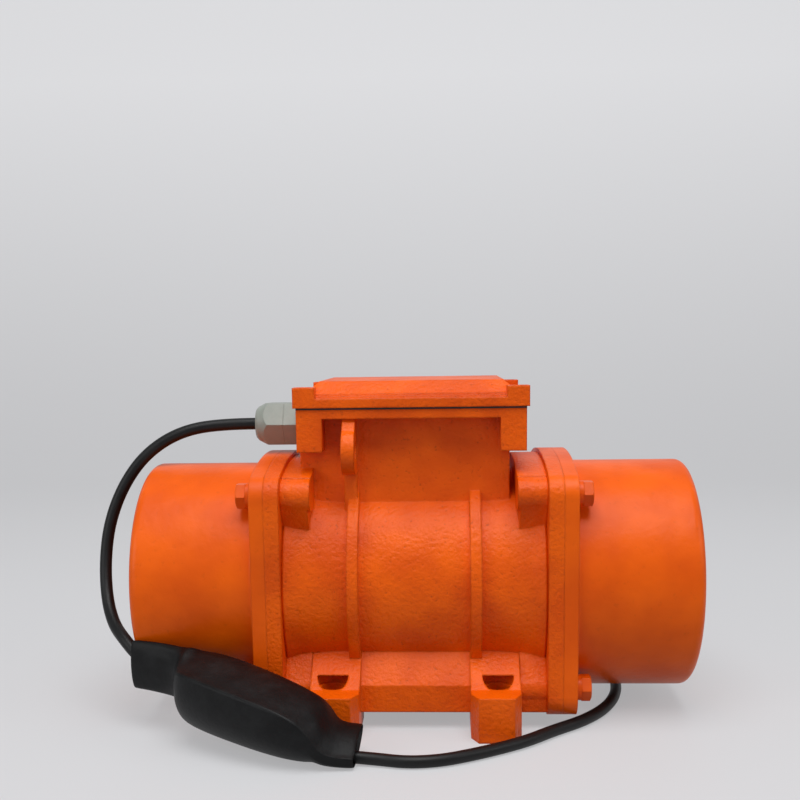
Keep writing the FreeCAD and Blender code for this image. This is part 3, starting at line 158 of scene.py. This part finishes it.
coil = []
for radius, height, next_radius, next_height in COIL_TURNS:
    for step in range(STEPS):
        change = max(0.0, (step - STEPS * KEPT_SHARE) / (STEPS * (1 - KEPT_SHARE)))
        coil.append(coil_point(radius + (next_radius - radius) * change, step,
                               height + (next_height - height) * change))
for step in range(LAST_STEPS + 1):
    coil.append(coil_point(OUTER, step, UPPER))

cord = cable("supply_cable", CORD_ROUTE + coil[1:] + TAIL_ROUTE, CORD_DIAMETER)

# %% [markdown]
# Every finish below is a Principled shader with procedural detail. Two helpers do
# the repeated work: one turns a hex colour to the linear values that a shader
# expects, and one adds a node with its settings and links.

# %% Colour and node helpers
def colour(code):
    """Linear RGBA from an sRGB hex code."""
    parts = [int(code[i:i + 2], 16) / 255 for i in (1, 3, 5)]
    linear = [v / 12.92 if v <= 0.04045 else ((v + 0.055) / 1.055) ** 2.4 for v in parts]
    return (*linear, 1.0)


def add_node(material, kind, inputs=None, **settings):
    """Adds a node. An input given as (node, output) is linked, any other is set."""
    node = material.node_tree.nodes.new("ShaderNode" + kind)
    for name, value in settings.items():
        setattr(node, name, value)
    for name, value in (inputs or {}).items():
        if isinstance(value, tuple) and hasattr(value[0], "outputs"):
            material.node_tree.links.new(value[0].outputs[value[1]], node.inputs[name])
        else:
            node.inputs[name].default_value = value
    return node


def new_material(name):
    """An empty node material and the object coordinates its patterns read."""
    material = bpy.data.materials.new(name)
    material.use_nodes = True
    material.node_tree.nodes.clear()
    return material, (add_node(material, "TexCoord"), "Object")


def per_mm(size):
    """Texture scale for a pattern whose grains are this many millimetres apart."""
    return 1 / (size * MM)


def finish_surface(material, inputs):
    """The shader and the output that end each material."""
    shader = add_node(material, "BsdfPrincipled", inputs)
    add_node(material, "OutputMaterial", {"Surface": (shader, "BSDF")})
    print("finish:", material.name)


# %% [markdown]
# Semi-gloss alkyd enamel sprayed on a sand casting. The sand leaves grains a
# millimetre or two apart, the paint rounds every edge and pools a little, so the
# colour drifts over a few centimetres and the gloss breaks up over the grain.
# The Bevel node rounds the shading of the edges by the radius that casting and
# paint give them. The pits between grains are painted darker, as painted shade in the
# hollows of the grain.

# %% Enamel
def enamel(name, base, thick, grain, depth, edge, pit_shade):
    """Sprayed enamel over grains of this size and depth in mm, with painted shade of this strength
    in the pits.
    """
    material, place = new_material(name)
    drift = add_node(material, "TexNoise", {"Vector": place, "Scale": per_mm(28), "Detail": 2.0})
    sand = add_node(material, "TexNoise", {"Vector": place, "Scale": per_mm(grain), "Detail": 3.0,
                                           "Roughness": 0.55})
    skin = add_node(material, "TexNoise", {"Vector": place, "Scale": per_mm(9), "Detail": 1.0})
    pooled = add_node(material, "MapRange", {"Value": (drift, "Fac"),
                                             "From Min": 0.35, "From Max": 0.65})
    # Painted shade: where the sand grain is lowest, the colour is mixed towards a deep orange.
    pits = add_node(material, "MapRange", {"Value": (sand, "Fac"), "From Min": 0.27,
                                           "From Max": 0.38, "To Min": pit_shade, "To Max": 0.0})
    tint = add_node(material, "Mix", {0: (pooled, 0), 6: colour(base), 7: colour(thick)},
                    data_type="RGBA")
    pit_shaded = add_node(material, "Mix", {0: (pits, 0), 6: (tint, 2), 7: colour("#8A2E04")},
                      data_type="RGBA")
    gloss = add_node(material, "MapRange", {"Value": (drift, "Fac"), "To Min": 0.30, "To Max": 0.46})
    rounded = add_node(material, "Bevel", {"Radius": edge * MM}, samples=6)
    waves = add_node(material, "Bump", {"Height": (skin, "Fac"), "Distance": 0.35 * MM,
                                        "Strength": 0.6, "Normal": (rounded, 0)})
    bumps = add_node(material, "Bump", {"Height": (sand, "Fac"), "Distance": depth * MM,
                                        "Strength": 1.0, "Normal": (waves, 0)})
    finish_surface(material, {"Base Color": (pit_shaded, 2), "Roughness": (gloss, 0), "IOR": 1.5,
                              "Specular IOR Level": 0.2, "Normal": (bumps, 0)})
    return material


# The last number is the strength of the painted shade in the pits of the grain.
cast_enamel = enamel("enamel_on_sand_casting", "#EE6002", "#DA5000", 2.2, 0.60, 1.4, 0.35)
cover_enamel = enamel("enamel_on_smooth_casting", "#EE6002", "#DE5400", 3.4, 0.16, 1.2, 0.12)
fixing_enamel = enamel("enamel_on_steel_fixings", "#E65A02", "#D44D00", 2.5, 0.10, 0.6, 0.10)

# %% [markdown]
# Bare metals. Ground steel shows fine rings round the shaft, cast iron a grey
# grain, and the laminated cores the edges of their sheets. A metal keeps the
# default IOR, and its colour is the colour of its reflection.

# %% Metals
def bare_metal(name, base, dark, roughness, grain, depth, stretch=(1, 1, 1)):
    """A metal whose grain may be stretched along an axis, as turning or rolling does."""
    material, place = new_material(name)
    mapping = add_node(material, "Mapping", {"Vector": place, "Scale": stretch})
    marks = add_node(material, "TexNoise", {"Vector": (mapping, 0), "Scale": per_mm(grain),
                                            "Detail": 3.0})
    tint = add_node(material, "Mix", {0: (marks, "Fac"), 6: colour(base), 7: colour(dark)},
                    data_type="RGBA")
    dull = add_node(material, "MapRange", {"Value": (marks, "Fac"), "To Min": roughness - 0.08,
                                           "To Max": roughness + 0.12})
    bumps = add_node(material, "Bump", {"Height": (marks, "Fac"), "Distance": depth * MM,
                                        "Strength": 1.0})
    finish_surface(material, {"Base Color": (tint, 2), "Metallic": 1.0, "Roughness": (dull, 0),
                              "Normal": (bumps, 0)})
    return material


turned = (1, 0.05, 0.05)
ground_steel = bare_metal("ground_bearing_steel", "#C9CACB", "#A9AAAC", 0.26, 0.8, 0.01, turned)
spring_steel = bare_metal("oiled_spring_steel", "#55565A", "#3A3B3E", 0.35, 1.5, 0.02)
zinc_steel = bare_metal("zinc_plated_steel", "#C6C9CC", "#A5AAB0", 0.32, 1.2, 0.02)
core_steel = bare_metal("laminated_core_steel", "#85868A", "#5B5C60", 0.42, 1.0, 0.05, turned)
weight_iron = bare_metal("machined_cast_iron", "#6B6C6E", "#47484A", 0.48, 1.4, 0.05)
cage_aluminium = bare_metal("die_cast_aluminium", "#C4C5C7", "#A2A4A7", 0.40, 1.6, 0.04)
stud_brass = bare_metal("turned_brass", "#D9B65E", "#B08D3C", 0.28, 1.0, 0.01)
winding_copper = bare_metal("varnished_copper_wire", "#B5652F", "#6E3512", 0.35, 1.1, 0.25,
                            (0.2, 1, 1))

# %% [markdown]
# Moulded plastics and rubbers. The gland is light grey nylon, a little waxy and
# with faint flow marks. The cable jackets are matt black with fine scuffs, and
# the shrink sleeve is satin black with dust on it.

# %% Plastics and rubbers
def moulded(name, base, worn, roughness, grain, depth, wear=0.5, edge=0.3, shine=0.5):
    """A plastic or rubber with a fine skin grain and patches of wear or dust."""
    material, place = new_material(name)
    skin = add_node(material, "TexNoise", {"Vector": place, "Scale": per_mm(grain), "Detail": 3.0})
    patches = add_node(material, "TexNoise", {"Vector": place, "Scale": per_mm(14), "Detail": 4.0,
                                              "Roughness": 0.65})
    share = add_node(material, "MapRange", {"Value": (patches, "Fac"), "From Min": 0.42,
                                            "From Max": 0.72, "To Max": wear})
    tint = add_node(material, "Mix", {0: (share, 0), 6: colour(base), 7: colour(worn)},
                    data_type="RGBA")
    dull = add_node(material, "MapRange", {"Value": (patches, "Fac"), "To Min": roughness - 0.08,
                                           "To Max": roughness + 0.10})
    rounded = add_node(material, "Bevel", {"Radius": edge * MM}, samples=4)
    bumps = add_node(material, "Bump", {"Height": (skin, "Fac"), "Distance": depth * MM,
                                        "Strength": 1.0, "Normal": (rounded, 0)})
    finish_surface(material, {"Base Color": (tint, 2), "Roughness": (dull, 0), "IOR": 1.5,
                              "Specular IOR Level": shine, "Normal": (bumps, 0)})
    return material


gland_nylon = moulded("moulded_grey_nylon", "#8D9289", "#7C827A", 0.36, 1.6, 0.03, edge=0.7)
seal_rubber = moulded("black_nitrile_rubber", "#141414", "#222222", 0.55, 0.9, 0.03)
block_plastic = moulded("moulded_terminal_plastic", "#B7A37A", "#9C8A64", 0.45, 1.2, 0.03)
jacket_rubber = moulded("black_rubber_jacket", "#080809", "#19191A", 0.44, 0.8, 0.05, shine=0.3)
sleeve_rubber = moulded("satin_shrink_sleeve", "#060607", "#1E1F20", 0.46, 2.4, 0.12,
                        wear=0.6, shine=0.2)
can_plastic = moulded("moulded_capacitor_can", "#1B1B1E", "#26262A", 0.40, 1.2, 0.03)
plug_plastic = moulded("moulded_plug_plastic", "#131315", "#232326", 0.42, 1.0, 0.05)

# %% [markdown]
# The tie round the coil is a black woven band. Its weave is two sets of waves at
# right angles. A wave texture has 20 / (2 pi) waves in each unit of its scale, so
# units of 24 mm give a wave about every 7.5 mm, coarser than a real band's threads.

# %% Woven band
WEAVE_UNIT = 24
woven_band, band_place = new_material("woven_tie_band")
warp = add_node(woven_band, "TexWave", {"Vector": band_place, "Scale": per_mm(WEAVE_UNIT)},
                bands_direction="X")
weft = add_node(woven_band, "TexWave", {"Vector": band_place, "Scale": per_mm(WEAVE_UNIT)},
                bands_direction="Y")
weave = add_node(woven_band, "Math", {0: (warp, "Fac"), 1: (weft, "Fac")}, operation="MULTIPLY")
threads = add_node(woven_band, "Mix", {0: (weave, 0), 6: colour("#0F0F10"), 7: colour("#2B2B2E")},
                   data_type="RGBA")
raised = add_node(woven_band, "Bump", {"Height": (weave, 0), "Distance": 0.2 * MM})
finish_surface(woven_band, {"Base Color": (threads, 2), "Roughness": 0.85, "Normal": (raised, 0)})

# %% [markdown]
# The CAD nodes keep their shapes. Each takes the finish of its slot in the record.

# %% Dress the CAD nodes
FINISH_OF_SLOT = {
    "orange_enamel": cast_enamel, "painted_fixings": fixing_enamel,
    "ground_steel": ground_steel, "spring_steel": spring_steel,
    "zinc_steel": zinc_steel, "core_steel": core_steel,
    "cast_iron_weight": weight_iron, "cast_aluminium": cage_aluminium,
    "copper_winding": winding_copper, "brass_studs": stud_brass,
    "nitrile_rubber": seal_rubber, "terminal_plastic": block_plastic,
    "grey_nylon": gland_nylon, "black_cable": jacket_rubber,
    "shrink_sleeve": sleeve_rubber, "capacitor_plastic": can_plastic,
    "tie_band": woven_band, "plug_plastic": plug_plastic}
SMOOTH_CASTINGS = ("left_weight_cover", "right_weight_cover")

for part in frame["record"]["subparts"]:
    node = frame["nodes"][part["node"]]
    finish = FINISH_OF_SLOT[part["material_slot"]]
    if part["node"] in SMOOTH_CASTINGS:
        finish = cover_enamel
    node.data.materials.clear()
    node.data.materials.append(finish)

lead.data.materials.append(jacket_rubber)
cord.data.materials.append(jacket_rubber)

# %% [markdown]
# The capacitor is wrapped in a length of shrink sleeve. At the left its mouth is
# pinched upright round the lead, over the capacitor it is a full round body with
# one flat face on top, and at the right it is pressed flat round the cord. A ring
# is extruded along the sleeve: each new ring is moved, scaled across and in height,
# and turned to the heading. In background mode rotate turns the other way, so it
# gets the angle with its sign changed.

# %% Shrink sleeve
SLEEVE_RINGS = [  # x, y, heading in degrees, half width, half height, middle height
    (-155.5, -61.5, -17, 3.6, 13.8, 36.8), (-148, -63.4, -19, 3.9, 14.0, 36.6),
    (-140, -65.6, -22, 4.3, 14.2, 36.2), (-131, -68.6, -25, 5.0, 14.6, 35.2),
    (-124, -72.0, -27, 6.6, 15.4, 33.6), (-120.5, -74.2, -29, 13.6, 19.0, 30.8),
    (-118, -75.8, -30, 17.4, 21.0, 30.0), (-112, -79.6, -30, 19.4, 21.8, 29.2),
    (-104, -84.4, -30, 20.4, 22.0, 28.2), (-95, -89.4, -30, 20.8, 21.8, 26.8),
    (-85, -94.8, -30, 20.8, 21.4, 25.2), (-74, -100.6, -30, 20.2, 20.8, 23.2),
    (-63, -106.0, -29, 19.4, 19.6, 21.1), (-55.5, -108.8, -27, 18.6, 18.2, 19.4),
    (-49.5, -110.2, -24, 17.6, 16.2, 17.6), (-45.5, -110.4, -20, 16.2, 12.2, 14.4),
    (-42.5, -110.2, -17, 15.0, 7.4, 11.0), (-36, -109.4, -12, 14.6, 5.8, 9.2),
    (-27.5, -108.5, -6, 14.6, 5.2, 8.4)]
# Rings that lean: the flat tail lies on its front edge with its back edge raised.
SLEEVE_LEANS = {14: 6, 15: 15, 16: 25, 17: 26, 18: 26}
RING_POINTS = 24


def editing(on):
    """Goes into or out of edit mode."""
    bpy.ops.object.mode_set(mode="EDIT" if on else "OBJECT")


def turn(angle, centre):
    """Turns the selection about the vertical through a centre, counter-clockwise."""
    bpy.ops.transform.rotate(value=-angle, orient_axis="Z", center_override=centre)


def choose(piece, wanted):
    """Selects the points whose number passes a test, and nothing else."""
    editing(True)
    bpy.ops.mesh.select_mode(type="VERT")
    bpy.ops.mesh.select_all(action="DESELECT")
    editing(False)
    for point in piece.data.vertices:
        point.select = wanted(point.index)
    editing(True)


def apply_modifier(piece, kind, **settings):
    """Adds a modifier and applies it."""
    modifier = piece.modifiers.new(kind.title(), kind)
    for name, value in settings.items():
        setattr(modifier, name, value)
    bpy.context.view_layer.objects.active = piece
    bpy.ops.object.modifier_apply(modifier=modifier.name)


def settle(piece, body, finish, smooth=40):
    """Gives a finished piece its place in its mesh, its shading, body, slot and finish."""
    bpy.ops.object.select_all(action="DESELECT")
    piece.select_set(True)
    bpy.context.view_layer.objects.active = piece
    bpy.ops.object.transform_apply(location=True, rotation=True, scale=True)
    bpy.ops.object.shade_smooth_by_angle(angle=math.radians(smooth))
    piece.data.materials.clear()
    piece.data.materials.append(finish)
    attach(piece, body)
    bpy.ops.object.select_all(action="DESELECT")
    print(piece.name, "has", len(piece.data.polygons), "faces")


first = SLEEVE_RINGS[0]
bpy.ops.mesh.primitive_circle_add(vertices=RING_POINTS, radius=MM, fill_type="NOTHING",
                                  location=[first[i] * MM for i in (0, 1, 5)],
                                  rotation=(0, math.pi / 2, 0))
sleeve = bpy.context.object
sleeve.name = "shrink_tube"
bpy.ops.object.transform_apply(location=True, rotation=True, scale=True)
editing(True)
x, y, heading, half_width, half_height, height = first
centre = (x * MM, y * MM, height * MM)
bpy.ops.transform.resize(value=(1, half_width, half_height), center_override=centre)
turn(math.radians(heading), centre)
for ring in SLEEVE_RINGS[1:]:
    next_x, next_y, next_heading, next_width, next_height, next_z = ring
    bpy.ops.mesh.extrude_region_move()
    turn(math.radians(-heading), centre)
    bpy.ops.transform.translate(value=((next_x - x) * MM, (next_y - y) * MM,
                                       (next_z - height) * MM))
    centre = (next_x * MM, next_y * MM, next_z * MM)
    bpy.ops.transform.resize(value=(1, next_width / half_width, next_height / half_height),
                             center_override=centre)
    turn(math.radians(next_heading), centre)
    x, y, heading, half_width, half_height, height = ring
bpy.ops.mesh.select_all(action="SELECT")
bpy.ops.mesh.normals_make_consistent(inside=False)
editing(False)
for number, lean in SLEEVE_LEANS.items():
    choose(sleeve, lambda i: i // RING_POINTS == number)
    centre = [SLEEVE_RINGS[number][i] * MM for i in (0, 1, 5)]
    bpy.ops.transform.rotate(value=-math.radians(lean), orient_axis="X", center_override=centre)
    editing(False)
print("sleeve rings:", len(sleeve.data.vertices) // RING_POINTS)

# %% [markdown]
# The flat top face is drawn by lowering the points between its two edges, ring by
# ring, and its front edge is creased so that the subdivision keeps it crisp. The
# necks are crumpled by a small seeded random move.

# %% Sleeve creases
# Points of a ring run from the back (0) over the top (6) to the front (12).
SIDE_POINTS = (0, 12)
FRONT_EDGE_POINT = 10
FLAT_DROPS = ((3, 0.4), (4, 1.6), (5, 3.2), (6, 4.3), (7, 4.6), (8, 3.8), (9, 2.0))
FLAT_RINGS = range(6, 15)
EDGE_RINGS = range(6, 19)
TAIL_RINGS = range(15, 19)
NECK_RINGS = (2, 3, 4, 5, 6, 13, 14, 15)

for step, drop in FLAT_DROPS:
    choose(sleeve, lambda i: i % RING_POINTS == step and i // RING_POINTS in FLAT_RINGS)
    bpy.ops.transform.translate(value=(0, 0, -drop * MM))
    editing(False)
choose(sleeve, lambda i: i % RING_POINTS == FRONT_EDGE_POINT and i // RING_POINTS in EDGE_RINGS)
bpy.ops.transform.translate(value=(-0.5 * MM, -1.1 * MM, 1.2 * MM))
bpy.ops.mesh.select_mode(type="EDGE")
bpy.ops.transform.edge_crease(value=0.85)
editing(False)
choose(sleeve, lambda i: i % RING_POINTS in SIDE_POINTS and i // RING_POINTS in TAIL_RINGS)
bpy.ops.mesh.select_mode(type="EDGE")
bpy.ops.transform.edge_crease(value=0.6)
editing(False)
choose(sleeve, lambda i: i // RING_POINTS in NECK_RINGS)
bpy.ops.transform.vertex_random(offset=0.7 * MM, seed=5)
editing(False)
apply_modifier(sleeve, "SOLIDIFY", thickness=0.9 * MM, offset=-1)
apply_modifier(sleeve, "SUBSURF", levels=2, render_levels=2)
settle(sleeve, "motor", sleeve_rubber, smooth=60)
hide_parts("capacitor_sleeve")

# %% [markdown]
# The plug is moulded in one piece with its strain relief. A cube is the start. Its
# edges are bevelled, the points of its cable half are narrowed, and a subdivision
# rounds the whole.

# %% Mains plug
PLUG_SHRINK = 0.4 * MM  # keeps the plug inside its solid once its edges are rounded
plug_low, plug_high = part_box("mains_plug")
plug_size = plug_high - plug_low
plug_middle = (plug_low + plug_high) / 2
bpy.ops.mesh.primitive_cube_add(size=1, location=plug_middle)
plug = bpy.context.object
plug.name = "plug_body"
plug.scale = (plug_size.x - PLUG_SHRINK, plug_size.y - PLUG_SHRINK, plug_size.z - PLUG_SHRINK)
bpy.ops.object.transform_apply(location=True, rotation=True, scale=True)
editing(True)
bpy.ops.mesh.select_all(action="SELECT")
bpy.ops.mesh.bevel(offset=3.2 * MM, segments=4)
editing(False)
choose(plug, lambda i: plug.data.vertices[i].co.x > plug_middle.x)
bpy.ops.transform.resize(value=(1, 0.72, 0.86), center_override=plug_middle)
editing(False)
apply_modifier(plug, "SUBSURF", levels=1, render_levels=1)
settle(plug, "motor", plug_plastic)
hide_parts("mains_plug")

# %% [markdown]
# A woven band holds the coil together. It starts as a cube without its two open
# sides, its long edges are rounded, and a Solidify modifier gives it thickness.

# %% Tie
TIE_SHRINK = 0.3 * MM
tie_low, tie_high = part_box("cord_tie")
tie_size = tie_high - tie_low
bpy.ops.mesh.primitive_cube_add(size=1, location=(tie_low + tie_high) / 2)
tie = bpy.context.object
tie.name = "coil_tie"
tie.scale = (tie_size.x, tie_size.y - TIE_SHRINK, tie_size.z - TIE_SHRINK)
bpy.ops.object.transform_apply(location=True, rotation=True, scale=True)
editing(True)
bpy.ops.mesh.select_mode(type="FACE")
bpy.ops.mesh.select_all(action="DESELECT")
editing(False)
for face in tie.data.polygons:
    face.select = abs(face.normal.x) > 0.9
editing(True)
bpy.ops.mesh.delete(type="ONLY_FACE")
bpy.ops.mesh.select_mode(type="EDGE")
bpy.ops.mesh.select_all(action="DESELECT")
editing(False)
for edge in tie.data.edges:
    ends = [tie.data.vertices[i].co for i in edge.vertices]
    edge.select = abs(ends[0].x - ends[1].x) > tie_size.x / 2
editing(True)
bpy.ops.mesh.bevel(offset=4.5 * MM, segments=5)
editing(False)
apply_modifier(tie, "SOLIDIFY", thickness=1.0 * MM, offset=-1)
settle(tie, "motor", woven_band)
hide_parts("cord_tie")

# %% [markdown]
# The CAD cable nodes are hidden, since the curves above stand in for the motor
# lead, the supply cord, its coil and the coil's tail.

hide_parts("motor_lead")
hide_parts("supply_cord", "cord_coil", "coil_tail")

# %% [markdown]
# A pale sweep stands for the studio: a plane whose back edge is drawn up into a
# wall, with the fold rounded so that no line shows. Its paint also glows, more
# towards the top of the wall, but only for the camera and for reflections, so that
# the backdrop is pale without lighting the motor from all sides.

# %% Floor and wall
FLOOR_SIZE, WALL_HEIGHT, FOLD = 6, 3, 0.9
pale_paint, floor_place = new_material("pale_matt_floor")
place_parts = add_node(pale_paint, "SeparateXYZ", {"Vector": floor_place})
rise = add_node(pale_paint, "MapRange", {"Value": (place_parts, "Z"), "From Max": 0.8,
                                         "To Min": 0.46, "To Max": 0.72})
ray = add_node(pale_paint, "LightPath")
seen = add_node(pale_paint, "Math", {0: (ray, "Is Camera Ray"), 1: (ray, "Is Glossy Ray")},
                operation="ADD")
glow = add_node(pale_paint, "Math", {0: (seen, 0), 1: (rise, 0)}, operation="MULTIPLY")
finish_surface(pale_paint, {"Base Color": colour("#909092"), "Roughness": 0.7,
                            "Emission Color": colour("#E6E6E8"), "Emission Strength": (glow, 0)})
bpy.ops.mesh.primitive_plane_add(size=FLOOR_SIZE, location=(0, -1.2, 0))
floor = bpy.context.object
floor.name = "studio_floor"
bpy.ops.object.transform_apply(location=True, rotation=True, scale=True)
editing(True)
bpy.ops.mesh.select_mode(type="EDGE")
bpy.ops.mesh.select_all(action="DESELECT")
editing(False)
for edge in floor.data.edges:
    edge.select = all(floor.data.vertices[i].co.y > 1 for i in edge.vertices)
editing(True)
bpy.ops.mesh.extrude_region_move(TRANSFORM_OT_translate={"value": (0, 0, WALL_HEIGHT)})
bpy.ops.mesh.select_all(action="DESELECT")
editing(False)
for edge in floor.data.edges:
    ends = [floor.data.vertices[i].co for i in edge.vertices]
    edge.select = all(v.y > 1 and v.z < 0.1 for v in ends)
editing(True)
bpy.ops.mesh.bevel(offset=FOLD, segments=16)
editing(False)
bpy.ops.object.shade_smooth()
floor.data.materials.append(pale_paint)
print("floor faces:", len(floor.data.polygons))

# %% [markdown]
# The light is that of a small studio: a large soft box above and in front of the
# motor, a weaker one at each side, and a pale world that fills the shadows.

# %% Light
AIM = (0, 0, 0.08)


def soft_box(name, place, aim, size, power):
    """A square area lamp that points from a place to an aim."""
    bpy.ops.object.light_add(type="AREA", location=place)
    lamp = bpy.context.object
    lamp.name = name
    lamp.data.shape = "SQUARE"
    lamp.data.size = size
    lamp.data.energy = power
    way = [a - b for a, b in zip(aim, place)]
    lamp.rotation_euler = (math.atan2(math.hypot(way[0], way[1]), -way[2]), 0,
                           math.atan2(-way[0], way[1]))
    print(name, "at", place)


soft_box("key_soft_box", (0.05, -0.45, 1.25), AIM, 0.9, 12.5)
soft_box("left_soft_box", (-1.2, -0.9, 0.7), AIM, 0.8, 5)
soft_box("right_soft_box", (1.3, -0.5, 0.8), AIM, 0.6, 3.2)

world = bpy.data.worlds.new("studio_world")
bpy.context.scene.world = world
world.use_nodes = True
sky = world.node_tree.nodes["Background"]
sky.inputs["Color"].default_value = colour("#E8EAEC")
sky.inputs["Strength"].default_value = 0.46
bpy.context.scene.view_settings.view_transform = "Standard"
